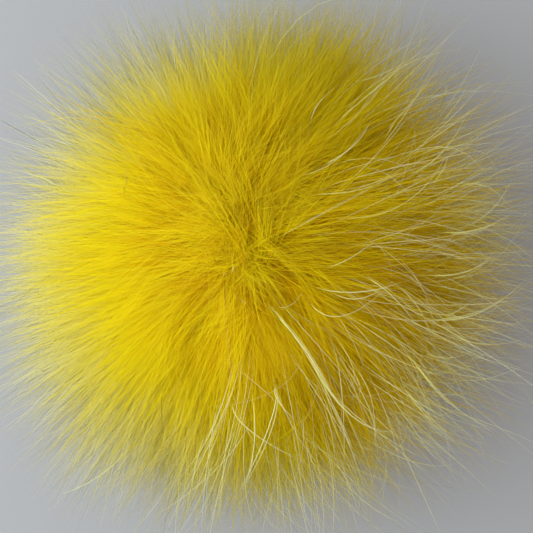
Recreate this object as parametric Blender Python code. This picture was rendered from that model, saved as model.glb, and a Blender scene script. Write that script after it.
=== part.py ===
"""A long-haired fur pompom, resting on its underside.

One closed solid: a dense, lumpy ball of underfur with a small flat spot where it rests, and tapered
four-sided locks whose roots are part of the ball. The hair parts at a crown near the top, and from there
it lies outwards on all sides. Metres, +Z up, with the origin at the middle of the flat spot.
"""

import math
import random

import bmesh
import bpy
from mathutils import Vector, noise

# The dense ball of underfur.
BALL_RADIUS = 0.0510
BALL_HALF_HEIGHT = 0.0490
FLAT_DEPTH = 0.0022
LUMP_HEIGHT = 0.0020
LUMPS_ACROSS = 2.6

# The cells of the ball's surface that the locks grow from: each of these triangles is split in three.
TRIANGLE_CORNERS = 52
CORNER_JITTER = 0.10
EVENING_ROUNDS = 3
EVENING_SHARE = 0.5

# The crown, where the hair parts, from the middle of the ball seen from above.
CROWN_OFFSET = (0.0015, 0.0100)
CROWN_HOLLOW_DEPTH = 0.0030
CROWN_HOLLOW_RADIUS = 0.0150

# The locks. Their reach is the length from root to tip before they curl.
LOCK_REACH = 0.0240
LOCK_REACH_SPREAD = 0.0040
CROWN_REACH = 0.0140
FLOOR_REACH = 0.0120
LONG_SIDE = (0.95, -0.30)
LONG_SIDE_EXTRA = 0.0075
ROOT_LEAN = 0.50
TIP_LEAN = 1.60
ROOT_MARGIN = 0.0014
FLOOR_ROOT_MARGIN = 0.0034
RING_WIDTHS = (0.62, 0.34, 0.14)
LOCK_CURL = 0.75
CURLS_ACROSS = 2.2
LOCK_DROOP = 0.16
LOWEST_LOCK_ROOT = 0.0044

# Where the locks change from one kind to another, as heights from -1 at the ball's lowest point to 1 at
# its highest: from lying level all round to lying away from the crown, from the short hair near the floor
# to the full length, and from straight locks near the floor to curled ones.
SWEEP_HEIGHTS = (-0.5, 0.5)
LENGTH_HEIGHTS = (-0.75, -0.25)
CURL_HEIGHTS = (-0.85, -0.30)

# The same for the distance from the crown, in radii of the ball: from upright hair to leaning hair, and
# from short hair to the full length.
LEAN_DISTANCES = (0.0, 0.35)
LENGTH_DISTANCES = (0.20, 0.75)

DYED_YELLOW = (0.74, 0.52, 0.01)
FUR_ROUGHNESS = 0.75
SHARP_ANGLE = math.radians(60.0)

SEED = 17
SWAY_SHIFTS = (0.0, 17.3, 41.9)
CENTRE = Vector((0.0, 0.0, BALL_HALF_HEIGHT - FLAT_DEPTH))
CROWN = Vector((CROWN_OFFSET[0], CROWN_OFFSET[1], 0.0))


def clear_scene():
    for thing in list(bpy.data.objects):
        bpy.data.objects.remove(thing, do_unlink=True)


def level(vector):
    return Vector((vector.x, vector.y, 0.0))


def crown_hollow(point):
    """How far the hair parting sinks the ball's surface under a point at its top."""
    if point.z < CENTRE.z:
        return 0.0
    distance = (level(point) - CROWN).length / CROWN_HOLLOW_RADIUS
    return CROWN_HOLLOW_DEPTH * math.exp(-distance * distance)


def ball_point(way):
    """The point of the dense ball's surface that lies in a direction from its middle."""
    lump = LUMP_HEIGHT * noise.noise(way * LUMPS_ACROSS)
    point = Vector((
        way.x * (BALL_RADIUS + lump),
        way.y * (BALL_RADIUS + lump),
        way.z * (BALL_HALF_HEIGHT + lump),
    ))
    point += CENTRE
    point.z = max(point.z - crown_hollow(point), 0.0)
    return point


def smooth_step(low, high, value):
    share = min(max((value - low) / (high - low), 0.0), 1.0)
    return share * share * (3.0 - 2.0 * share)


def hair_way(root, lean):
    """The direction of hair at a root: outwards, and leaning away from the crown."""
    outwards = (root - CENTRE).normalized()
    height = smooth_step(*SWEEP_HEIGHTS, outwards.z)
    away = level(root) - CROWN * height
    lean_here = lean * smooth_step(*LEAN_DISTANCES, away.length / BALL_RADIUS)
    return (outwards + lean_here * away.normalized()).normalized()


def keep_off_floor(way, root, reach):
    """Turns a direction up until hair of that length, rooted there, ends on the floor and not under it."""
    way.z = max(way.z, -root.z / reach)
    return way.normalized()


def even_ways(count):
    """Directions spread evenly over a sphere, along a spiral from pole to pole."""
    golden_angle = math.pi * (3.0 - math.sqrt(5.0))
    for index in range(count):
        height = 1.0 - (2.0 * index + 1.0) / count
        radius = math.sqrt(1.0 - height * height)
        angle = golden_angle * index
        yield Vector((radius * math.cos(angle), radius * math.sin(angle), height))


def wrap_in_triangles(bm):
    """Joins points on a sphere into a hull of triangles, made in an order that is the same each time."""
    bmesh.ops.convex_hull(bm, input=bm.verts[:])
    bm.verts.index_update()
    triangles = []
    for face in bm.faces:
        corners = [vert.index for vert in face.verts]
        first = corners.index(min(corners))
        triangles.append(corners[first:] + corners[:first])
    bmesh.ops.delete(bm, geom=bm.edges[:], context="EDGES_FACES")
    bm.verts.ensure_lookup_table()
    for corners in sorted(triangles):
        bm.faces.new([bm.verts[index] for index in corners])


def split_in_three(bm):
    """Splits each triangle into three four-sided cells that meet at its middle."""
    bmesh.ops.bisect_edges(bm, edges=bm.edges[:], cuts=1)
    bmesh.ops.poke(bm, faces=bm.faces[:])
    corner_spokes = []
    for edge in bm.edges:
        if all(len(vert.link_edges) > 4 for vert in edge.verts):
            corner_spokes.append(edge)
    bmesh.ops.dissolve_edges(bm, edges=corner_spokes)


def ball_cells():
    """A ball of uneven four-sided cells, with the cells of the flat spot joined into one."""
    bm = bmesh.new()
    chance = random.Random(SEED)
    for way in even_ways(TRIANGLE_CORNERS):
        jitter = Vector([chance.uniform(-CORNER_JITTER, CORNER_JITTER) for _ in range(3)])
        bm.verts.new((way + jitter).normalized())
    wrap_in_triangles(bm)
    split_in_three(bm)
    for _ in range(EVENING_ROUNDS):
        bmesh.ops.smooth_vert(
            bm, verts=bm.verts[:], factor=EVENING_SHARE, use_axis_x=True, use_axis_y=True, use_axis_z=True
        )
        for vert in bm.verts:
            vert.co.normalize()
    for vert in bm.verts:
        vert.co = ball_point(vert.co.normalized())
    flat = [face for face in bm.faces if all(vert.co.z == 0.0 for vert in face.verts)]
    bmesh.ops.dissolve_faces(bm, faces=flat)
    bmesh.ops.recalc_face_normals(bm, faces=bm.faces[:])
    return bm


def lock_reach(root, chance):
    """How long a lock is: short at the crown and by the floor, and longer on one side than on the other."""
    outwards = (root - CENTRE).normalized()
    from_crown = level(root) - CROWN
    low = smooth_step(*LENGTH_HEIGHTS, outwards.z)
    high = 1.0
    if outwards.z > 0.0:
        high = smooth_step(*LENGTH_DISTANCES, from_crown.length / BALL_RADIUS)
    reach = FLOOR_REACH + (LOCK_REACH - FLOOR_REACH) * low
    reach = CROWN_REACH + (reach - CROWN_REACH) * high
    side = outwards.x * LONG_SIDE[0] + outwards.y * LONG_SIDE[1]
    reach += LONG_SIDE_EXTRA * side
    return reach + chance.uniform(-LOCK_REACH_SPREAD, LOCK_REACH_SPREAD)


def sway(place):
    """A smooth random vector that depends only on the place, so that neighbouring locks curl alike."""
    return Vector([noise.noise(place + Vector((shift, 0.0, 0.0))) for shift in SWAY_SHIFTS])


def lock_path(root, start_way, end_way, reach, steps):
    """Points along a lock, and its direction at each, bending evenly from one way to another."""
    path = []
    point = root.copy()
    for step in range(1, steps + 1):
        way = start_way.slerp(end_way, (step - 0.5) / steps)
        point = point + way * (reach / steps)
        path.append((point.copy(), start_way.slerp(end_way, step / steps)))
    return path


def lift_off_floor(corners):
    """Raises a ring of corners, so that a lock near the floor lies level on it."""
    lowest = min(corner.co.z for corner in corners)
    if lowest < 0.0:
        for corner in corners:
            corner.co.z -= lowest


def grow_lock(bm, cell, chance):
    """Grows one tapered lock out of a cell of the ball."""
    root = cell.calc_center_median()
    normal = cell.normal.copy()
    outwards = (root - CENTRE).normalized()
    height = smooth_step(*CURL_HEIGHTS, outwards.z)
    margin = FLOOR_ROOT_MARGIN + (ROOT_MARGIN - FLOOR_ROOT_MARGIN) * height
    bmesh.ops.inset_individual(bm, faces=[cell], thickness=margin)

    reach = lock_reach(root, chance)
    curl = LOCK_CURL * height * sway(outwards * CURLS_ACROSS)
    droop = Vector((0.0, 0.0, -LOCK_DROOP * height))
    start_way = keep_off_floor(hair_way(root, ROOT_LEAN), root, reach)
    end_way = keep_off_floor(hair_way(root, TIP_LEAN) + curl + droop, root, reach)
    path = lock_path(root, start_way, end_way, reach, len(RING_WIDTHS) + 1)

    root_corners = [vert.co - root for vert in cell.verts]
    face = cell
    for (point, ring_way), share in zip(path, RING_WIDTHS):
        face = bmesh.ops.extrude_discrete_faces(bm, faces=[face])["faces"][0]
        turn = normal.rotation_difference(ring_way)
        for vert, corner in zip(face.verts, root_corners):
            vert.co = point + turn @ (corner * share)
        lift_off_floor(face.verts)
    tip = path[-1][0]
    tip.z = max(tip.z, 0.0)
    face = bmesh.ops.extrude_discrete_faces(bm, faces=[face])["faces"][0]
    bmesh.ops.pointmerge(bm, verts=face.verts[:], merge_co=tip)


def make_material(name, colour, roughness):
    material = bpy.data.materials.new(name)
    material.use_nodes = True
    shader = material.node_tree.nodes["Principled BSDF"]
    shader.inputs["Base Color"].default_value = (*colour, 1.0)
    shader.inputs["Roughness"].default_value = roughness
    shader.inputs["Metallic"].default_value = 0.0
    return material


def make_pompom():
    bm = ball_cells()
    chance = random.Random(SEED + 1)
    cells = [face for face in bm.faces if face.calc_center_median().z > LOWEST_LOCK_ROOT]
    for cell in cells:
        grow_lock(bm, cell, chance)
    bmesh.ops.recalc_face_normals(bm, faces=bm.faces[:])
    mesh = bpy.data.meshes.new("pompom")
    bm.to_mesh(mesh)
    bm.free()
    mesh.shade_smooth()
    mesh.set_sharp_from_angle(angle=SHARP_ANGLE)
    pompom = bpy.data.objects.new("pompom", mesh)
    bpy.context.scene.collection.objects.link(pompom)
    pompom.data.materials.append(make_material("dyed_fur", DYED_YELLOW, FUR_ROUGHNESS))
    return pompom


clear_scene()
make_pompom()
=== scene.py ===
"""The looks of the fur pompom: fur made as meshes, on a pale floor in soft light from the left.

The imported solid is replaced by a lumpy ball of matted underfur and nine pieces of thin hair. Short and
long underfur lies outwards from the crown in locks, and tufts stand up where the fur parts. Fine hairs,
guard hairs, long arcs and drawn hairs run over it and off its edge. Metres, +Z up.
"""

import math

import bpy
import numpy as np
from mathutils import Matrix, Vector


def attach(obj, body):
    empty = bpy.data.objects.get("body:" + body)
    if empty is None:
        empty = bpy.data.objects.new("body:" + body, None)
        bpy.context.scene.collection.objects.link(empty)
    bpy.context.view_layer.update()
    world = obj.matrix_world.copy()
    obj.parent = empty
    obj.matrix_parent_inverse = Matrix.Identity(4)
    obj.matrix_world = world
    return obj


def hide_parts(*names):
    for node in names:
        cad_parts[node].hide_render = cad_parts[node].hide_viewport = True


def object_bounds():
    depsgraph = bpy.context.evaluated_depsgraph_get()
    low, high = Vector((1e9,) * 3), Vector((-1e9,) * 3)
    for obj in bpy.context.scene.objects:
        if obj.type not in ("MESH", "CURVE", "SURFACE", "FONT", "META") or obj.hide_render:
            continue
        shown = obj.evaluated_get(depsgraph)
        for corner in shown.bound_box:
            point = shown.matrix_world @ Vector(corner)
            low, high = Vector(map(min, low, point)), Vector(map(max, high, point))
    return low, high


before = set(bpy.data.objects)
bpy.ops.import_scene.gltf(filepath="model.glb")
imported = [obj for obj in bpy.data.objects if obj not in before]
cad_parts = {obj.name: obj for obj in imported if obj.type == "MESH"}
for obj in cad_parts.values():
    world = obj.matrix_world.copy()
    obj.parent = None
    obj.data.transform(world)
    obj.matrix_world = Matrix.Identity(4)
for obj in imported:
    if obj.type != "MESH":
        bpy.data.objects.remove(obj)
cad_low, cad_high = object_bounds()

MILLIMETRE = 0.001
UP = np.array([0.0, 0.0, 1.0])
SIDEWAYS = np.array([1.0, 0.0, 0.0])
NEARLY_UPRIGHT = 0.9

# The ball that the fur grows on: its middle, the half-widths of its skin, and the radius of the ball
# that leaning hair bends round. No hair comes lower than FLOOR.
CENTRE = np.array([0.0050, 0.0000, 0.0488])
SKIN = np.array([0.0415, 0.0415, 0.0400])
BALL_RADIUS = 0.0560
FLOOR = 0.0004

# The line on top of the ball where the hair parts, and how far from it the hair leans in full.
CROWN_START = np.array([-0.0010, 0.0170])
CROWN_END = np.array([0.0018, 0.0030])
CROWN_WIDTH = 0.0100

# The fur is long and unruly towards one side, and soft and even on the other.
LONG_SIDE = np.array([0.985, 0.174, 0.0])
WILD_SIDE = np.array([0.99, -0.12, 0.0])

# It is also a little longer at the two ends of one line across, and shorter at right angles to it.
LONG_ACROSS = np.array([0.342, 0.940, 0.0])
LONG_ACROSS_EXTRA = 0.14

# And it is fuller towards the light.
FULL_SIDE = np.array([-0.940, 0.342, 0.0])
FULL_SIDE_EXTRA = 0.34

# Towards this side it is a little longer too, and its ends are paler.
PALE_SIDE = np.array([-0.50, -0.866, 0.0])
PALE_SIDE_EXTRA = 0.24
PALE_SIDE_PALER = 0.8

# Where the fur changes towards each side, from -1 right across the ball to 1 at the side itself.
WILD_SHARES = (-0.45, 0.75)
LONG_SHARES = (-0.5, 1.0)
FULL_SHARES = (-0.3, 0.9)
PALE_SHARES = (0.0, 0.9)

# Where it changes with height, from -1 at the ball's lowest point to 1 at its highest: how the hair is
# swept away from the crown, leans, droops, has its full length and bends with the ball, and where guard
# hair, fine hair and pale ends are found.
SWEEP_HEIGHTS = (-0.5, 0.5)
LEAN_HEIGHTS = (-0.6, 0.2)
DROOP_HEIGHTS = (-0.4, 0.1)
LENGTH_HEIGHTS = (-0.85, -0.15)
BEND_HEIGHTS = (0.0, 0.5)
GUARD_HEIGHTS = (-0.7, 0.1)
GUARD_RIM_HEIGHTS = (0.45, 0.10)
FINE_RIM_HEIGHTS = (0.7, 0.3)
PALE_RIM_HEIGHTS = (0.92, 0.20)
PALE_LOW_HEIGHTS = (-0.6, 0.1)

# What is left of the lean and of the pale ends at the ball's lowest point.
LOWEST_LEAN = 0.2
LOWEST_PALENESS = 0.1

# What the unruly side changes: each as its value on the even side, and what full wildness adds to it.
LEAN_BY_WILD = (0.45, 0.45)
CURL_BY_WILD = (0.45, 0.75)
TUFT_STRAY_BY_WILD = (0.25, 0.95)
HAIR_STRAY_BY_WILD = (0.7, 0.3)
VARIETY_BY_WILD = (0.15, 0.85)
OVERLONG_BY_WILD = (1.0, -0.35)
CONTRAST_BY_WILD = (0.20, 0.80)
# The hair's ends are palest on the even side, which faces the light: partly pale tips, partly painted
# light.
PALENESS_BY_WILD = (1.30, -1.15)
SPIN_BY_WILD = (0.25, 0.9)
SOFTNESS_BY_WILD = (1.6, -1.0)
BULGE_BY_WILD = (0.4, 0.8)
# This one lowers the tone of all hair towards the unruly side, which lies away from the light: painted
# shade that makes it darker and more amber.
PAINTED_SHADE_BY_WILD = -0.26

# How neighbouring locks sway alike: seed and waves of the smooth noise, and its shares of the direction
# that they start in and of their length. FLOOR_TURN is how much of its way down a low lock starts with.
SWAY_SEED = 3
SWAY_WAVES = 3.0
CURL_WAVES = 2.6
ROOT_SWAY = 0.08
LENGTH_SWAY = 0.09
FLOOR_TURN = 0.8

# The tufts of the crown: where along its line they stand and how far beside it, how high their roots
# are, and how they lean, bend, curl and fall.
CROWN_ALONG = (-0.80, 1.20)
CROWN_SCATTER = 0.0060
CROWN_ROOT = 1.12
CROWN_SPREAD = 0.60
CROWN_LEAN = 0.7
CROWN_BEND = 0.6
CROWN_CURL = 0.45
CROWN_FALL = (0.6, 0.1)
CROWN_LENGTHS = (0.75, 1.2)
CROWN_WILDNESS = 0.6

# The long arcs: where they start and head, how they swing and rise, how bright they are, and how many of
# them the even side has.
ARC_ROOT = 0.006
ARC_OUTWARDS = 0.5
ARC_SPREAD = 0.45
ARC_LENGTHS = (0.6, 1.3)
ARC_SWING = 1.3
ARC_RISE = (-0.1, 0.7)
ARC_TONES = (0.30, 0.50)
ARC_LEAST = 0.25

# The guard hair that grows round the rim of the soft side, and how unruly hairs of no lock are.
SOFT_SIDE_GUARD = 0.25
LOOSE_WILDNESS = 0.5

# How the hairs of a lock lie: over how much of their tuft's disc they spread, how far they grow apart, how
# much the tufts' lengths differ, how short and long a hair may be, how far along it bends and how it
# strays past the lock's end, all as shares of the lock. Low hairs keep up to FLOOR_LIFT off the floor.
HAIR_DISC = 1.15
GROWTH = 0.40
TUFT_LENGTHS = 0.10
LENGTH_LIMITS = (0.40, 2.20)
BEND_END = 1.25
STRAY_RISE = 1.2
FLOOR_LIFT = 0.0015

# How bright hairs are, as tones from 0 to 0.5, and how single hairs, tufts and locks differ. A pale end
# lifts the tone by up to PALE_LIFT, and in full on hair that is PALE_SPREAD spreads over the shortest.
BASE_TONE = 0.42
HAIR_TONES = 0.55
TUFT_TONES = 0.60
LOCK_TONES = 0.35
TONE_LIMITS = (0.02, 0.50)
PALE_LIFT = 0.46
PALE_LIMITS = (0.02, 0.98)
PALE_SPREAD = 2.5

# The ribbons: how much a tip narrows, how widths differ, how the tone runs across, and how round the hairs
# and tufts look in the light.
TIP_NARROWING = 0.85
NARROWING_POWER = 2.5
WIDTHS = (0.7, 1.3)
TONE_SLOPE = 0.0015
ROUND_ANGLE = 0.9
BULGE = 0.35

# How far hair may reach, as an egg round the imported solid's box.
REACH_MARGIN = 0.0130
EGG_POWER = 3

# Where the fur's surface lies, for the hairs that are drawn one by one over it.
FUR_RADIUS = 0.0780
FUR_HALF_HEIGHT = 0.0580
FUR_EDGE = 0.05
ROOT_DEPTH = 0.010
BESIDE_SPREAD = 0.5
DRAWN_LIFT = 0.001

# The camera looks straight down. The photograph is VIEW_WIDTH wide at VIEW_DISTANCE under the camera,
# which is about level with the ball's middle.
CAMERA = np.array([0.0075, -0.0005, 0.42])
VIEW_DISTANCE = 0.37
VIEW_WIDTH = 0.155
SENSOR_WIDTH = 36.0
CLIP_START = 0.01

# Hairs that stand out, as read off the photograph, in its pixels from its top left corner: how many lie
# together, how bright they are, and where one starts, passes and ends.
PHOTO_SIDE = 533
BRIGHT = 0.45
FAINT = 0.10
DRAWN_HAIRS = (
    (3, BRIGHT, (262, 300), (303, 345), (333, 395)),
    (2, BRIGHT, (300, 338), (345, 409), (394, 433)),
    (1, BRIGHT, (301, 294), (342, 316), (394, 280)),
    (1, BRIGHT, (311, 284), (354, 293), (404, 283)),
    (1, BRIGHT, (325, 290), (353, 300), (381, 289)),
    (1, BRIGHT, (270, 307), (289, 305), (304, 293)),
    (1, BRIGHT, (327, 268), (350, 257), (376, 242)),
    (1, BRIGHT, (268, 380), (308, 396), (349, 383)),
    (2, BRIGHT, (421, 317), (476, 313), (528, 280)),
    (1, BRIGHT, (446, 315), (462, 308), (476, 298)),
    (1, BRIGHT, (436, 325), (480, 343), (528, 337)),
    (1, BRIGHT, (414, 349), (455, 357), (488, 336)),
    (2, BRIGHT, (427, 275), (466, 270), (495, 250)),
    (1, BRIGHT, (446, 279), (474, 270), (496, 250)),
    (1, BRIGHT, (437, 262), (474, 259), (510, 263)),
    (1, BRIGHT, (392, 281), (418, 309), (433, 347)),
    (1, BRIGHT, (357, 273), (391, 297), (421, 330)),
    (1, BRIGHT, (333, 310), (352, 338), (364, 368)),
    (2, BRIGHT, (412, 357), (447, 399), (494, 432)),
    (1, BRIGHT, (353, 367), (372, 400), (376, 446)),
    (1, BRIGHT, (478, 430), (491, 449), (501, 464)),
    (2, BRIGHT, (395, 379), (427, 412), (456, 443)),
    (2, BRIGHT, (274, 383), (280, 400), (294, 423)),
    (1, BRIGHT, (375, 430), (393, 456), (404, 480)),
    (1, BRIGHT, (330, 456), (347, 482), (357, 512)),
    (2, BRIGHT, (272, 240), (330, 210), (404, 172)),
    (2, BRIGHT, (305, 194), (360, 190), (404, 167)),
    (1, BRIGHT, (293, 174), (335, 160), (372, 120)),
    (1, BRIGHT, (305, 171), (352, 148), (373, 118)),
    (1, BRIGHT, (404, 175), (440, 155), (470, 107)),
    (1, BRIGHT, (427, 192), (442, 170), (448, 154)),
    (1, BRIGHT, (330, 218), (400, 208), (448, 156)),
    (1, BRIGHT, (440, 230), (489, 212), (519, 160)),
    (2, BRIGHT, (440, 230), (475, 232), (512, 214)),
    (1, BRIGHT, (455, 190), (485, 187), (513, 209)),
    (1, BRIGHT, (312, 150), (350, 120), (375, 95)),
    (2, BRIGHT, (330, 128), (375, 90), (432, 43)),
    (1, BRIGHT, (345, 83), (385, 73), (431, 43)),
    (1, BRIGHT, (308, 140), (318, 108), (345, 82)),
    (1, BRIGHT, (390, 135), (398, 116), (410, 112)),
    (1, BRIGHT, (443, 106), (446, 84), (445, 64)),
    (1, BRIGHT, (440, 125), (458, 102), (472, 78)),
    (1, FAINT, (229, 284), (245, 304), (252, 294)),
    (1, FAINT, (225, 275), (228, 330), (229, 379)),
    (1, BRIGHT, (234, 400), (243, 425), (300, 460)),
    (2, BRIGHT, (252, 395), (254, 440), (245, 490)),
    (2, BRIGHT, (275, 384), (270, 430), (238, 497)),
    (1, BRIGHT, (300, 395), (302, 450), (285, 500)),
    (1, FAINT, (228, 360), (262, 390), (275, 402)),
    (1, BRIGHT, (205, 430), (196, 465), (187, 515)),
    (1, BRIGHT, (158, 400), (170, 470), (180, 500)),
    (1, BRIGHT, (128, 452), (95, 478), (60, 495)),
    (1, FAINT, (120, 197), (127, 180), (125, 165)),
    (1, BRIGHT, (70, 240), (58, 262), (52, 300)),
    (1, BRIGHT, (75, 150), (60, 140), (36, 137)),
    (1, BRIGHT, (60, 190), (45, 178), (20, 172)),
    (1, BRIGHT, (200, 75), (185, 50), (160, 40)),
)

# The lumps of the matted ball: each kind's height, its waves and the seed of its noise.
FELT_SWELL = 1.14
FELT_LUMPS = ((0.0011, 5.0, 71), (0.0006, 14.0, 72))
# The matted ball's colours, which its grain mixes at random: a deeper amber than the hair, partly the
# underfur's own colour and partly painted shade deep between the locks.
FELT_YELLOW = (0.90, 0.62, 0.001)
FELT_SHADE = (0.80, 0.48, 0.001)

# Colours along a hair, from its root at 0 to its tip at 1: the underfur, the guard hair, and the pale
# ends of both. The underfur darkens to amber towards the root: partly its dye, partly painted shade deep
# in the fur.
DYED_AND_ROOT_SHADE = (
    (0.0, (0.93, 0.50, 0.001)),
    (0.25, (0.97, 0.68, 0.002)),
    (0.50, (0.99, 0.81, 0.003)),
    (0.80, (1.0, 0.88, 0.012)),
    (1.0, (1.0, 0.92, 0.05)),
)
# The guard hair's pale cream is partly its own colour and partly a painted sheen.
GOLDEN_AND_SHEEN = (
    (0.0, (0.96, 0.80, 0.02)),
    (0.18, (0.95, 0.96, 0.26)),
    (0.4, (0.96, 1.0, 0.46)),
    (1.0, (0.96, 0.98, 0.64)),
)
CREAM = (
    (0.0, (0.98, 0.80, 0.01)),
    (0.3, (0.98, 0.90, 0.16)),
    (0.6, (0.98, 0.96, 0.50)),
    (1.0, (0.98, 0.97, 0.80)),
)

# How a hair's tone darkens its colour, and the tones between which its end turns cream.
SHADES = (
    (0.0, (0.74, 0.53, 0.4)),
    (0.24, (0.95, 0.85, 0.75)),
    (0.45, (1.0, 1.0, 1.0)),
    (1.0, (1.0, 1.0, 1.0)),
)
CREAM_TONES = (0.5, 0.96)

# The floor and the light.
FLOOR_SIZE = 4.0
FLOOR_GREY = (0.40, 0.415, 0.440, 1.0)
SKY_COLOUR = (1.0, 0.94, 0.90, 1.0)
SKY_STRENGTH = 0.60
KEY_PLACE = (-0.36, 0.02, 0.50)
KEY_TARGET = (0.0, 0.0, 0.05)
KEY_SIZE = 0.65
KEY_COLOUR = (0.93, 1.0, 1.03)
KEY_ENERGY = 3.2

SEED = 5


def smooth_step(low, high, value):
    share = np.clip((value - low) / (high - low), 0.0, 1.0)
    return share * share * (3.0 - 2.0 * share)


def rise_from(low, share):
    """From a low value to 1, as a share goes from 0 to 1."""
    return low + (1.0 - low) * share


def by_wildness(value_and_gain, wild):
    """A value on the even side, with what the unruly side adds to it."""
    value, gain = value_and_gain
    return value + gain * wild


def unit(vectors):
    lengths = np.linalg.norm(vectors, axis=-1, keepdims=True)
    return vectors / np.maximum(lengths, 1e-12)


def even_ways(count, rng, jitter=0.5):
    """Directions spread over a sphere along a spiral, each moved a little at random."""
    index = np.arange(count)
    height = 1.0 - (2.0 * index + 1.0) / count
    radius = np.sqrt(1.0 - height * height)
    angle = math.pi * (3.0 - math.sqrt(5.0)) * index
    ways = np.stack([radius * np.cos(angle), radius * np.sin(angle), height], axis=1)
    spacing = math.sqrt(4.0 * math.pi / count)
    return unit(ways + rng.normal(0.0, jitter * spacing, (count, 3)))


def smooth_noise(points, scale, seed, channels=3, waves=7):
    """Smooth random values that depend on the place alone: a sum of waves in random directions."""
    rng = np.random.default_rng(seed)
    total = np.zeros((len(points), channels))
    for _ in range(waves):
        wave = rng.normal(0.0, scale, (3, channels))
        phase = rng.uniform(0.0, 2.0 * math.pi, channels)
        total += np.sin(points @ wave + phase)
    return total / math.sqrt(waves)


def wildness(ways):
    """0 on the soft, even side, and 1 where the locks part and the long hairs cross."""
    return smooth_step(*WILD_SHARES, ways @ WILD_SIDE)


def away_from_crown(ways):
    """The level direction away from the crown's line, and how far from it each place is."""
    places = ways[:, :2] * BALL_RADIUS + CENTRE[:2]
    line = CROWN_END - CROWN_START
    share = np.clip((places - CROWN_START) @ line / (line @ line), 0.0, 1.0)
    nearest = CROWN_START + share[:, None] * line
    height = smooth_step(*SWEEP_HEIGHTS, ways[:, 2])[:, None]
    flat = places - nearest * height - CENTRE[:2] * (1.0 - height)
    distance = np.linalg.norm(flat, axis=1)
    away = np.zeros_like(ways)
    away[:, :2] = flat / np.maximum(distance, 1e-9)[:, None]
    return away, distance


def along_surface(vectors, ways):
    return vectors - ways * np.sum(vectors * ways, axis=1, keepdims=True)


def in_disc(ways, radius, rng):
    """A random offset for each direction, across it."""
    helper = np.where(np.abs(ways[:, 2:3]) < NEARLY_UPRIGHT, [UP], [SIDEWAYS])
    first = unit(np.cross(ways, helper))
    second = np.cross(ways, first)
    reach = radius * np.sqrt(rng.uniform(0.0, 1.0, len(ways)))
    turn = rng.uniform(0.0, 2.0 * math.pi, len(ways))
    return first * (reach * np.cos(turn))[:, None] + second * (reach * np.sin(turn))[:, None]


def lock_reach(ways, length, longer, low):
    """How long a lock is in each direction: longer towards some sides, and shorter near the floor."""
    across = ways @ LONG_ACROSS
    reach = length * (1.0 + LENGTH_SWAY * smooth_noise(ways, SWAY_WAVES, SWAY_SEED + 2, 1)[:, 0])
    reach *= 1.0 + longer * smooth_step(*LONG_SHARES, ways @ LONG_SIDE)
    reach *= 1.0 + FULL_SIDE_EXTRA * smooth_step(*FULL_SHARES, ways @ FULL_SIDE)
    reach *= 1.0 + PALE_SIDE_EXTRA * smooth_step(*PALE_SHARES, ways @ PALE_SIDE)
    reach *= 1.0 + LONG_ACROSS_EXTRA * (2.0 * across * across - np.sum(ways[:, :2] ** 2, axis=1))
    reach *= rise_from(low, smooth_step(*LENGTH_HEIGHTS, ways[:, 2]))
    return reach


def laid_locks(rng, count, length, lean, bend, curl, droop, longer, own=0.5, low=0.8, keep=None):
    """Locks all over the ball, lying outwards from the crown: where each starts and how it runs."""
    ways = even_ways(count, rng)
    if keep is not None:
        ways = ways[rng.uniform(0.0, 1.0, count) < keep(ways)]
    wild = wildness(ways)
    away, distance = away_from_crown(ways)
    lying = smooth_step(0.0, CROWN_WIDTH, distance)
    lying = lying * rise_from(LOWEST_LEAN, smooth_step(*LEAN_HEIGHTS, ways[:, 2]))
    lying *= by_wildness(LEAN_BY_WILD, wild)
    root = CENTRE + ways * SKIN
    sway = ROOT_SWAY * smooth_noise(ways, SWAY_WAVES, SWAY_SEED)
    first = unit(ways + (lean * lying)[:, None] * away + sway)
    turn = (bend * lying)[:, None] * along_surface(away, ways)
    amount = (curl * by_wildness(CURL_BY_WILD, wild))[:, None]
    turn += amount * smooth_noise(ways, CURL_WAVES, SWAY_SEED + 1)
    turn += amount * own * rng.normal(0.0, 1.0, ways.shape)
    turn[:, 2] -= droop * smooth_step(*DROOP_HEIGHTS, ways[:, 2])
    reach = lock_reach(ways, length, longer, low)
    lowest = (FLOOR - root[:, 2]) / reach
    first[:, 2] = np.maximum(first[:, 2], lowest * FLOOR_TURN)
    turn[:, 2] = np.maximum(turn[:, 2], lowest - first[:, 2])
    return ways, wild, root, first, turn, reach


def guard_share(ways):
    """How much of the guard hair grows in a direction: on the soft side, only round the rim."""
    rim = smooth_step(*GUARD_RIM_HEIGHTS, ways[:, 2])
    share = np.maximum(wildness(ways) ** 1.5, SOFT_SIDE_GUARD * rim)
    return share * smooth_step(*GUARD_HEIGHTS, ways[:, 2])


def fine_share(ways):
    """The same for the fine hair: all round below the crown, and higher up on the unruly side."""
    return np.maximum(wildness(ways) ** 2, smooth_step(*FINE_RIM_HEIGHTS, ways[:, 2]))


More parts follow.
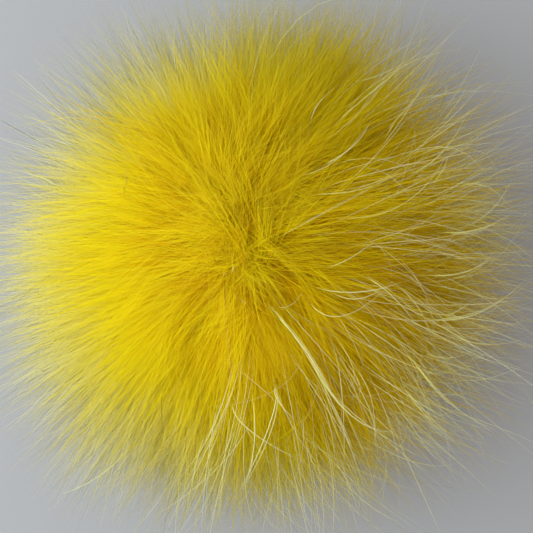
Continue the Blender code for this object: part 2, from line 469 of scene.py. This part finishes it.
def crown_locks(rng, count, length):
    """Short tufts along the crown's line, which lean every way."""
    along = rng.uniform(*CROWN_ALONG, count)[:, None]
    beside = rng.normal(0.0, CROWN_SCATTER, (count, 2))
    flat = CROWN_START + along * (CROWN_END - CROWN_START) + beside
    ways = np.zeros((count, 3))
    ways[:, :2] = (flat - CENTRE[:2]) / BALL_RADIUS
    ways[:, 2] = np.sqrt(1.0 - np.sum(ways[:, :2] ** 2, axis=1))
    away, distance = away_from_crown(ways)
    outwards = away * smooth_step(0.0, CROWN_WIDTH, distance)[:, None]
    lean = rng.normal(0.0, CROWN_SPREAD, (count, 3))
    lean[:, 2] = 0.0
    root = CENTRE + ways * SKIN * CROWN_ROOT
    first = unit(ways + CROWN_LEAN * outwards + lean)
    turn = CROWN_BEND * outwards + CROWN_CURL * rng.normal(0.0, 1.0, (count, 3))
    share, least = CROWN_FALL
    turn[:, 2] = -np.abs(turn[:, 2]) * share - least
    reach = length * rng.uniform(*CROWN_LENGTHS, count)
    return ways, np.full(count, CROWN_WILDNESS), root, first, turn, reach


def within_reach(points):
    """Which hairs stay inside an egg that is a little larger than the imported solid's box."""
    low = np.array(cad_low) - REACH_MARGIN
    high = np.array(cad_high) + REACH_MARGIN
    low[2] = -high[2]
    share = (points - (low + high) / 2.0) / ((high - low) / 2.0)
    return np.max(np.sum(np.abs(share) ** EGG_POWER, axis=2), axis=1) < 1.0


def for_hairs(values, index):
    """The value or vector that each hair takes over from its lock or tuft, for all its points."""
    return values[index].reshape(len(index), 1, -1)


def hair_tones(wild, tuft_lock, hair_tuft, tone, base, rng):
    """How bright each hair is: locks, tufts and hairs differ, and more so on the unruly side, where all
    hair is darker as painted shade away from the light.
    """
    hair_lock = tuft_lock[hair_tuft]
    contrast = tone * by_wildness(CONTRAST_BY_WILD, wild)
    return by_wildness((base, PAINTED_SHADE_BY_WILD), wild)[hair_lock] + contrast[hair_lock] * (
        HAIR_TONES * rng.normal(0.0, 1.0, len(hair_lock))
        + TUFT_TONES * rng.normal(0.0, 1.0, len(tuft_lock))[hair_tuft]
        + LOCK_TONES * rng.normal(0.0, 1.0, len(wild))[hair_lock]
    )


def rim_paleness(ways, wild):
    """Where the hair's ends are pale: round the rim, on the even side, and more on the pale side. On the
    even side, which faces the light, the pale rim is partly the hair's pale tips and partly painted light.
    """
    rim = smooth_step(*PALE_RIM_HEIGHTS, ways[:, 2])
    rim = rim * rise_from(LOWEST_PALENESS, smooth_step(*PALE_LOW_HEIGHTS, ways[:, 2]))
    rim *= by_wildness(PALENESS_BY_WILD, wild)
    rim *= 1.0 + PALE_SIDE_PALER * smooth_step(*PALE_SHARES, ways @ PALE_SIDE)
    return rim


def strands(locks, rng, tufts, hairs, radius, steps, shortest, spread, gather, bunch, stray, fray, tone,
            hook=0.0, pale=0.0, base=BASE_TONE):
    """The hairs of some locks: a lock has tufts, and a tuft has hairs. Gives their points and tones."""
    ways, wild, root, first, turn, reach = locks
    tuft_lock = np.repeat(np.arange(len(ways)), tufts)
    hair_tuft = np.repeat(np.arange(len(tuft_lock)), hairs)
    hair_lock = tuft_lock[hair_tuft]
    total = len(hair_lock)
    size = reach[:, None]

    tuft_place = in_disc(ways[tuft_lock], radius, rng)
    tuft_stray = rng.normal(0.0, 1.0, tuft_place.shape) * size[tuft_lock] * stray
    tuft_stray *= by_wildness(TUFT_STRAY_BY_WILD, wild[tuft_lock])[:, None]
    hair_place = in_disc(ways[hair_lock], radius * HAIR_DISC / math.sqrt(tufts), rng)
    hair_stray = rng.normal(0.0, 1.0, hair_place.shape) * size[hair_lock] * fray
    hair_stray *= by_wildness(HAIR_STRAY_BY_WILD, wild)[hair_lock][:, None]

    variety = by_wildness(VARIETY_BY_WILD, wild)
    tuft_length = 1.0 + TUFT_LENGTHS * rng.normal(0.0, 1.0, len(tuft_lock)) * variety[tuft_lock]
    uneven = rng.exponential(spread, total) * by_wildness(OVERLONG_BY_WILD, wild)[hair_lock]
    share = np.clip(tuft_length[hair_tuft] * (shortest + uneven), *LENGTH_LIMITS)

    along = share[:, None, None] * np.linspace(0.0, 1.0, steps + 1)[None, :, None]
    capped = np.minimum(along, 1.0)
    bend = np.minimum(along, BEND_END) ** 2 + 2.0 * BEND_END * np.maximum(along - BEND_END, 0.0)
    turned = for_hairs(turn, hair_lock) * bend
    far = for_hairs(reach, hair_lock)
    points = for_hairs(root, hair_lock) + far * (for_hairs(first, hair_lock) * along + turned)
    sideways = far * (for_hairs(along_surface(first, ways), hair_lock) * along + turned)
    sunk = np.sum(sideways * sideways, axis=2, keepdims=True) / (2.0 * BALL_RADIUS)
    upper = smooth_step(*BEND_HEIGHTS, ways[:, 2])
    points -= sunk * for_hairs(ways, hair_lock) * for_hairs(upper, hair_lock)

    apart = 1.0 + GROWTH * along
    loose = capped ** 2 + STRAY_RISE * (along - capped)
    tuft_pull = for_hairs(gather * variety, hair_lock) * capped ** 2
    hair_pull = for_hairs(bunch * variety, hair_lock) * capped ** 1.5
    points += for_hairs(tuft_place, hair_tuft) * apart * (1.0 - tuft_pull)
    points += for_hairs(tuft_stray, hair_tuft) * loose
    points += hair_place[:, None, :] * apart * (1.0 - hair_pull)
    points += hair_stray[:, None, :] * loose
    hooked = rng.normal(0.0, hook, (len(tuft_lock), 3))[hair_tuft] * size[hair_lock]
    points += hooked[:, None, :] * bend * capped
    lift = FLOOR + FLOOR_LIFT * rng.uniform(0.0, 1.0, (total, 1))
    points[:, :, 2] = np.maximum(points[:, :, 2], lift * along[:, :, 0] ** 0.5 + FLOOR)

    tones = hair_tones(wild, tuft_lock, hair_tuft, tone, base, rng)
    overlong = smooth_step(shortest, shortest + PALE_SPREAD * spread, share)
    paleness = 1.0 - np.exp(-pale * rim_paleness(ways, wild)[hair_lock] * overlong)
    tones = np.clip(np.clip(tones, *TONE_LIMITS) + PALE_LIFT * paleness, *PALE_LIMITS)
    bulge = tuft_place[hair_tuft] / radius
    kept = within_reach(points)
    return points[kept], tones[kept], wild[hair_lock][kept], bulge[kept]


def loose_hairs(points, tones):
    """Hairs that belong to no lock, in the form that strands gives them in."""
    count = len(points)
    return points, tones, np.full(count, LOOSE_WILDNESS), np.zeros((count, 3))


def short_underfur(rng):
    locks = laid_locks(
        rng, count=440, length=0.0165, lean=0.65, bend=0.85, curl=0.16, droop=0.04, longer=0.14
    )
    return strands(
        locks, rng, tufts=10, hairs=15, radius=0.0062, steps=2, shortest=0.55, spread=0.20,
        gather=0.50, bunch=0.15, stray=0.10, fray=0.22, tone=0.14, pale=1.0,
    )


def long_underfur(rng):
    locks = laid_locks(
        rng, count=300, length=0.0170, lean=0.65, bend=0.90, curl=0.18, droop=0.04, longer=0.14
    )
    return strands(
        locks, rng, tufts=10, hairs=11, radius=0.0075, steps=3, shortest=0.60, spread=0.40,
        gather=0.50, bunch=0.20, stray=0.10, fray=0.20, tone=0.14, pale=1.6,
    )


def crown_tufts(rng):
    locks = crown_locks(rng, count=290, length=0.0175)
    return strands(
        locks, rng, tufts=3, hairs=18, radius=0.0026, steps=4, shortest=0.85, spread=0.15,
        gather=0.6, bunch=0.5, stray=0.20, fray=0.14, tone=0.34, hook=0.25, base=0.46,
    )


def fine_hairs(rng):
    """Thin single hairs that stand out of the underfur, mostly round the rim."""
    locks = laid_locks(
        rng, count=1100, length=0.0205, lean=0.80, bend=0.60, curl=0.20, droop=0.02, longer=0.15,
        keep=fine_share,
    )
    return strands(
        locks, rng, tufts=2, hairs=5, radius=0.0040, steps=6, shortest=0.85, spread=0.45,
        gather=0.1, bunch=0.1, stray=0.16, fray=0.14, tone=0.14, hook=0.20, pale=2.6,
    )


def guard_hairs(rng):
    """The long pale outer hairs, both single and in bundles."""
    locks = laid_locks(
        rng, count=4000, length=0.0350, lean=1.20, bend=0.80, curl=0.30, droop=0.00, longer=0.10,
        own=1.2, low=0.5, keep=guard_share,
    )
    # Guard hair takes a high base tone, brighter than the underfur: partly its paler colour, partly a
    # painted sheen.
    single = strands(
        locks, rng, tufts=1, hairs=1, radius=0.0040, steps=10, shortest=0.80, spread=0.22,
        gather=0.0, bunch=0.0, stray=0.22, fray=0.05, tone=0.20, hook=0.26, base=0.74,
    )
    locks = laid_locks(
        rng, count=360, length=0.0355, lean=1.20, bend=0.80, curl=0.16, droop=0.00, longer=0.10,
        own=0.8, low=0.5, keep=guard_share,
    )
    bundled = strands(
        locks, rng, tufts=2, hairs=4, radius=0.0060, steps=10, shortest=0.80, spread=0.22,
        gather=0.2, bunch=0.3, stray=0.22, fray=0.12, tone=0.20, hook=0.18, base=0.74,
    )
    return [np.concatenate(pair) for pair in zip(single, bundled)]


def long_arcs(rng, count=620, length=0.042, steps=14):
    """Loose guard hairs that each bend evenly to one side as they run over the fur and off its edge."""
    ways = even_ways(count, rng)
    share = guard_share(ways) * rise_from(ARC_LEAST, wildness(ways))
    ways = ways[rng.uniform(0.0, 1.0, count) < share]
    away, _ = away_from_crown(ways)
    count = len(ways)
    point = CENTRE + ways * (SKIN + ARC_ROOT)
    heading = unit(away + ARC_OUTWARDS * ways + ARC_SPREAD * rng.normal(0.0, 1.0, (count, 3)))
    reach = length * rng.uniform(*ARC_LENGTHS, (count, 1))
    swing = rng.normal(0.0, ARC_SWING, (count, 1))
    rise = rng.uniform(*ARC_RISE, (count, 1))
    rows = [point]
    for _ in range(steps):
        outwards = unit(point - CENTRE)
        heading = unit(heading + (swing * np.cross(outwards, heading) + rise * outwards) / steps)
        point = point + heading * reach / steps
        point[:, 2] = np.maximum(point[:, 2], 2.0 * FLOOR)
        rows.append(point)
    points = np.stack(rows, axis=1)
    points = points[within_reach(points)]
    return loose_hairs(points, rng.uniform(*ARC_TONES, len(points)))


def from_photo(pixels):
    """Where places in the photograph are, in whole millimetres at the height of the ball's middle."""
    scale = VIEW_WIDTH / MILLIMETRE / PHOTO_SIDE
    from_middle = (np.array(pixels) - PHOTO_SIDE / 2.0) * np.array([scale, -scale])
    return np.round(from_middle + CAMERA[:2] / MILLIMETRE)


def over_the_fur(places):
    """Lays points, given as seen from above at the height of the ball's middle, on top of the fur."""
    share = np.sum(((places - CENTRE[:2]) / FUR_RADIUS) ** 2, axis=-1)
    height = CENTRE[2] + FUR_HALF_HEIGHT * np.sqrt(np.maximum(1.0 - share, FUR_EDGE))
    points = np.zeros((*places.shape[:-1], 3))
    nearer = ((CAMERA[2] - height) / (CAMERA[2] - CENTRE[2]))[..., None]
    points[..., :2] = CAMERA[:2] + (places - CAMERA[:2]) * nearer
    points[..., 2] = height
    return points


def drawn_hairs(rng, steps=16):
    """The few hairs that stand out most, each drawn through three places, some with others beside them."""
    along = np.linspace(0.0, 1.0, steps + 1)[:, None]
    hairs = []
    tones = []
    for together, shade, *pixels in DRAWN_HAIRS:
        for index in range(together):
            shift = rng.normal(0.0, BESIDE_SPREAD, (3, 2)) * min(index, 1)
            first, through, last = (from_photo(pixels) + shift) * MILLIMETRE
            bend = 2.0 * through - 0.5 * (first + last)
            places = first * (1.0 - along) ** 2 + 2.0 * bend * along * (1.0 - along) + last * along ** 2
            points = over_the_fur(places)
            points[:, 2] -= ROOT_DEPTH * np.maximum(1.0 - 4.0 * along[:, 0], 0.0) ** 2
            points[:, 2] += rng.uniform(-DRAWN_LIFT, DRAWN_LIFT)
            hairs.append(points)
            tones.append(shade)
    return loose_hairs(np.array(hairs), np.array(tones))


def ribbon_directions(points, wild, rng):
    """For each point of each ribbon: the way across it, the way it faces, and the way out of the ball."""
    tangent = np.gradient(points, axis=1)
    outwards = unit(points - CENTRE)
    middle = points.shape[1] // 2
    spread = by_wildness(SPIN_BY_WILD, wild)[:, None, None]
    spin = outwards[:, middle][:, None, :] + spread * rng.normal(0.0, 1.0, (len(points), 1, 3))
    side = unit(np.cross(tangent, np.broadcast_to(spin, points.shape)))
    face = unit(np.cross(side, tangent))
    flip = np.sign(np.sum(face[:, middle] * outwards[:, middle], axis=1) + 1e-9)[:, None, None]
    return side * flip, face * flip, outwards


def by_corner(left, right, tip):
    """Puts values in the order of a ribbon's corners: left and right by turns, and then the tip."""
    count, rows, _ = left.shape
    values = np.empty((count, 2 * rows - 1, 3), dtype=np.float32)
    values[:, 0:-1:2] = left[:, :-1]
    values[:, 1:-1:2] = right[:, :-1]
    values[:, -1] = tip[:, -1]
    return values


def ribbon_faces(steps):
    """The corners of one ribbon's faces: a row of quads, and a triangle at the tip."""
    corners = []
    for step in range(steps - 1):
        corners += [2 * step, 2 * step + 1, 2 * step + 3, 2 * step + 2]
    return np.array(corners + [2 * steps - 2, 2 * steps - 1, 2 * steps])


def ribbon_mesh(name, verts, steps):
    count, per, _ = verts.shape
    corners = ribbon_faces(steps)
    loops = (np.arange(count)[:, None] * per + corners[None, :]).ravel()
    starts = (np.arange(count)[:, None] * len(corners) + np.arange(steps)[None, :] * 4).ravel()
    mesh = bpy.data.meshes.new(name)
    mesh.vertices.add(count * per)
    mesh.vertices.foreach_set("co", verts.ravel())
    mesh.loops.add(len(loops))
    mesh.loops.foreach_set("vertex_index", loops.astype(np.int32))
    mesh.polygons.add(count * steps)
    mesh.polygons.foreach_set("loop_start", starts.astype(np.int32))
    mesh.polygons.foreach_set("use_smooth", np.ones(count * steps, dtype=bool))
    return mesh


def lay_tones(mesh, tones, steps):
    """The UV map that the materials read: a hair's tone in X, and the share of its length in Y."""
    corners = ribbon_faces(steps)
    along = np.linspace(0.0, 1.0, steps + 1)
    heights = np.concatenate([np.repeat(along[:-1], 2), [1.0]])[corners]
    sides = np.array([-1.0, 1.0] * steps + [0.0])[corners] * TONE_SLOPE
    uvs = np.empty((len(tones), len(corners), 2), dtype=np.float32)
    uvs[:, :, 0] = tones[:, None] + sides[None, :]
    uvs[:, :, 1] = heights[None, :]
    layer = mesh.uv_layers.new(name="OFBake")
    layer.data.foreach_set("uv", uvs.ravel())


def ribbons(name, hairs, material, rng, width, softness, lifted=0.0):
    """One mesh of thin tapered ribbons along the hairs. Light falls on them as on soft round hair."""
    points, tones, wild, bulge = hairs
    count, rows, _ = points.shape
    steps = rows - 1
    side, face, outwards = ribbon_directions(points, wild, rng)
    taper = 1.0 - TIP_NARROWING * np.linspace(0.0, 1.0, rows) ** NARROWING_POWER
    breadth = width * taper * rng.uniform(*WIDTHS, (count, 1))
    half = side * (0.5 * breadth)[:, :, None]
    mesh = ribbon_mesh(name, by_corner(points - half, points + half, points), steps)
    lay_tones(mesh, tones, steps)
    mesh.update(calc_edges=True)

    soft = (softness * by_wildness(SOFTNESS_BY_WILD, wild))[:, None, None]
    swelling = BULGE * by_wildness(BULGE_BY_WILD, wild)[:, None, None]
    ball = soft * unit(outwards + lifted * UP) + swelling * bulge[:, None, :]
    straight = face * math.cos(ROUND_ANGLE)
    sloping = side * math.sin(ROUND_ANGLE)
    normals = by_corner(straight - sloping + ball, straight + sloping + ball, face + ball)
    mesh.normals_split_custom_set_from_vertices(unit(normals).reshape(-1, 3))
    mesh.materials.append(material)
    piece = bpy.data.objects.new(name, mesh)
    bpy.context.scene.collection.objects.link(piece)
    return piece


def underfur_body(material):
    """The dense inside of the fur, a lumpy ball that shows only deep between the locks."""
    bpy.ops.mesh.primitive_ico_sphere_add(subdivisions=5, radius=1.0)
    piece = bpy.context.object
    piece.name = "underfur_body"
    mesh = piece.data
    ways = np.empty(len(mesh.vertices) * 3)
    mesh.vertices.foreach_get("co", ways)
    ways = unit(ways.reshape(-1, 3))
    lump = sum(height * smooth_noise(ways, waves, seed, 1) for height, waves, seed in FELT_LUMPS)
    points = CENTRE + ways * (SKIN * FELT_SWELL + lump)
    points[:, 2] = np.maximum(points[:, 2], FLOOR)
    mesh.vertices.foreach_set("co", points.ravel())
    mesh.update()
    mesh.shade_smooth()
    mesh.materials.append(material)
    return piece


def add_ramp(tree, stops, factor):
    """Colours by a factor from 0 to 1."""
    ramp = tree.nodes.new("ShaderNodeValToRGB")
    elements = ramp.color_ramp.elements
    elements[0].position = stops[0][0]
    elements[0].color = (*stops[0][1], 1.0)
    elements[1].position = stops[-1][0]
    elements[1].color = (*stops[-1][1], 1.0)
    for position, colour in stops[1:-1]:
        elements.new(position).color = (*colour, 1.0)
    tree.links.new(factor, ramp.inputs["Fac"])
    return ramp.outputs["Color"]


def fur_material(name, stops, roughness, specular, through):
    """Dyed hair: the colour runs from root to tip, its darker roots partly painted shade. Some strands are
    darker, and some have pale ends.
    """
    material = bpy.data.materials.new(name)
    material.use_nodes = True
    tree = material.node_tree
    tree.nodes.clear()
    uv = tree.nodes.new("ShaderNodeUVMap")
    uv.uv_map = "OFBake"
    split = tree.nodes.new("ShaderNodeSeparateXYZ")
    tree.links.new(uv.outputs["UV"], split.inputs[0])
    root_to_tip = add_ramp(tree, stops, split.outputs["Y"])
    pale = add_ramp(tree, CREAM, split.outputs["Y"])
    tone = add_ramp(tree, SHADES, split.outputs["X"])
    share = tree.nodes.new("ShaderNodeMapRange")
    share.inputs["From Min"].default_value = CREAM_TONES[0]
    share.inputs["From Max"].default_value = CREAM_TONES[1]
    tree.links.new(split.outputs["X"], share.inputs["Value"])
    ends = tree.nodes.new("ShaderNodeMix")
    ends.data_type = "RGBA"
    tree.links.new(share.outputs["Result"], ends.inputs[0])
    tree.links.new(root_to_tip, ends.inputs[6])
    tree.links.new(pale, ends.inputs[7])
    colour = tree.nodes.new("ShaderNodeVectorMath")
    colour.operation = "MULTIPLY"
    tree.links.new(ends.outputs[2], colour.inputs[0])
    tree.links.new(tone, colour.inputs[1])
    hair = tree.nodes.new("ShaderNodeBsdfPrincipled")
    hair.inputs["Roughness"].default_value = roughness
    hair.inputs["Specular IOR Level"].default_value = specular
    tree.links.new(colour.outputs[0], hair.inputs["Base Color"])
    glow = tree.nodes.new("ShaderNodeBsdfTranslucent")
    tree.links.new(colour.outputs[0], glow.inputs["Color"])
    mix = tree.nodes.new("ShaderNodeMixShader")
    mix.inputs["Fac"].default_value = through
    tree.links.new(hair.outputs[0], mix.inputs[1])
    tree.links.new(glow.outputs[0], mix.inputs[2])
    output = tree.nodes.new("ShaderNodeOutputMaterial")
    tree.links.new(mix.outputs[0], output.inputs["Surface"])
    return material


def felt_material():
    """Matted underfur: fine uneven wool, its deep amber partly painted shade between the locks."""
    material = bpy.data.materials.new("matted_underfur")
    material.use_nodes = True
    tree = material.node_tree
    shader = tree.nodes["Principled BSDF"]
    shader.inputs["Roughness"].default_value = 0.9
    shader.inputs["Specular IOR Level"].default_value = 0.05
    place = tree.nodes.new("ShaderNodeTexCoord")
    grain = tree.nodes.new("ShaderNodeTexNoise")
    grain.inputs["Scale"].default_value = 420.0
    grain.inputs["Detail"].default_value = 5.0
    tree.links.new(place.outputs["Object"], grain.inputs["Vector"])
    colour = add_ramp(tree, ((0.3, FELT_SHADE), (0.7, FELT_YELLOW)), grain.outputs["Fac"])
    tree.links.new(colour, shader.inputs["Base Color"])
    bump = tree.nodes.new("ShaderNodeBump")
    bump.inputs["Strength"].default_value = 0.7
    bump.inputs["Distance"].default_value = 0.0008
    tree.links.new(grain.outputs["Fac"], bump.inputs["Height"])
    tree.links.new(bump.outputs["Normal"], shader.inputs["Normal"])
    return material


def floor_material():
    material = bpy.data.materials.new("pale_floor")
    material.use_nodes = True
    shader = material.node_tree.nodes["Principled BSDF"]
    shader.inputs["Base Color"].default_value = FLOOR_GREY
    shader.inputs["Roughness"].default_value = 0.8
    return material


def add_floor():
    bpy.ops.mesh.primitive_plane_add(size=FLOOR_SIZE)
    floor = bpy.context.object
    floor.name = "floor"
    floor.data.materials.append(floor_material())


def add_light():
    """A soft sky, and one soft lamp from the left."""
    world = bpy.data.worlds.new("studio")
    world.use_nodes = True
    sky = world.node_tree.nodes["Background"]
    sky.inputs["Color"].default_value = SKY_COLOUR
    sky.inputs["Strength"].default_value = SKY_STRENGTH
    bpy.context.scene.world = world
    key = bpy.data.objects.new("key_light", bpy.data.lights.new("key_light", "AREA"))
    key.data.shape = "DISK"
    key.data.size = KEY_SIZE
    key.data.color = KEY_COLOUR
    key.data.energy = KEY_ENERGY
    key.location = KEY_PLACE
    key.rotation_euler = (Vector(KEY_TARGET) - key.location).to_track_quat("-Z", "Y").to_euler()
    bpy.context.scene.collection.objects.link(key)


def add_camera():
    """A camera that looks straight down and shows as much as the photograph does."""
    camera = bpy.data.objects.new("camera", bpy.data.cameras.new("camera"))
    camera.location = CAMERA
    camera.data.sensor_width = SENSOR_WIDTH
    camera.data.lens = SENSOR_WIDTH * VIEW_DISTANCE / VIEW_WIDTH
    camera.data.clip_start = CLIP_START
    bpy.context.scene.collection.objects.link(camera)
    bpy.context.scene.camera = camera
    bpy.context.scene.view_settings.view_transform = "Standard"


def add_piece(piece):
    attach(piece, "root")
    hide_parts("pompom")


def main():
    add_floor()
    add_light()
    add_camera()
    under = fur_material("underfur", DYED_AND_ROOT_SHADE, roughness=0.8, specular=0.02, through=0.42)
    guard = fur_material("guard_hair", GOLDEN_AND_SHEEN, roughness=0.35, specular=0.5, through=0.4)
    add_piece(underfur_body(felt_material()))

    rng = np.random.default_rng(SEED)
    for index in (1, 2):
        hairs = short_underfur(rng)
        add_piece(ribbons("short_underfur_%d" % index, hairs, under, rng, width=0.00016, softness=2.4))
    for index in (1, 2):
        hairs = long_underfur(rng)
        add_piece(ribbons("long_underfur_%d" % index, hairs, under, rng, width=0.00016, softness=2.4))
    hairs = crown_tufts(rng)
    add_piece(ribbons("crown_tufts", hairs, under, rng, width=0.00016, softness=3.0))
    hairs = fine_hairs(rng)
    add_piece(ribbons("fine_hairs", hairs, under, rng, width=0.00014, softness=1.6))
    hairs = guard_hairs(rng)
    add_piece(ribbons("guard_hairs", hairs, guard, rng, width=0.00016, softness=1.2, lifted=1.5))
    hairs = long_arcs(rng)
    add_piece(ribbons("long_arcs", hairs, guard, rng, width=0.00017, softness=1.2, lifted=1.5))
    hairs = drawn_hairs(rng)
    add_piece(ribbons("drawn_hairs", hairs, guard, rng, width=0.00022, softness=1.2, lifted=1.5))


main()
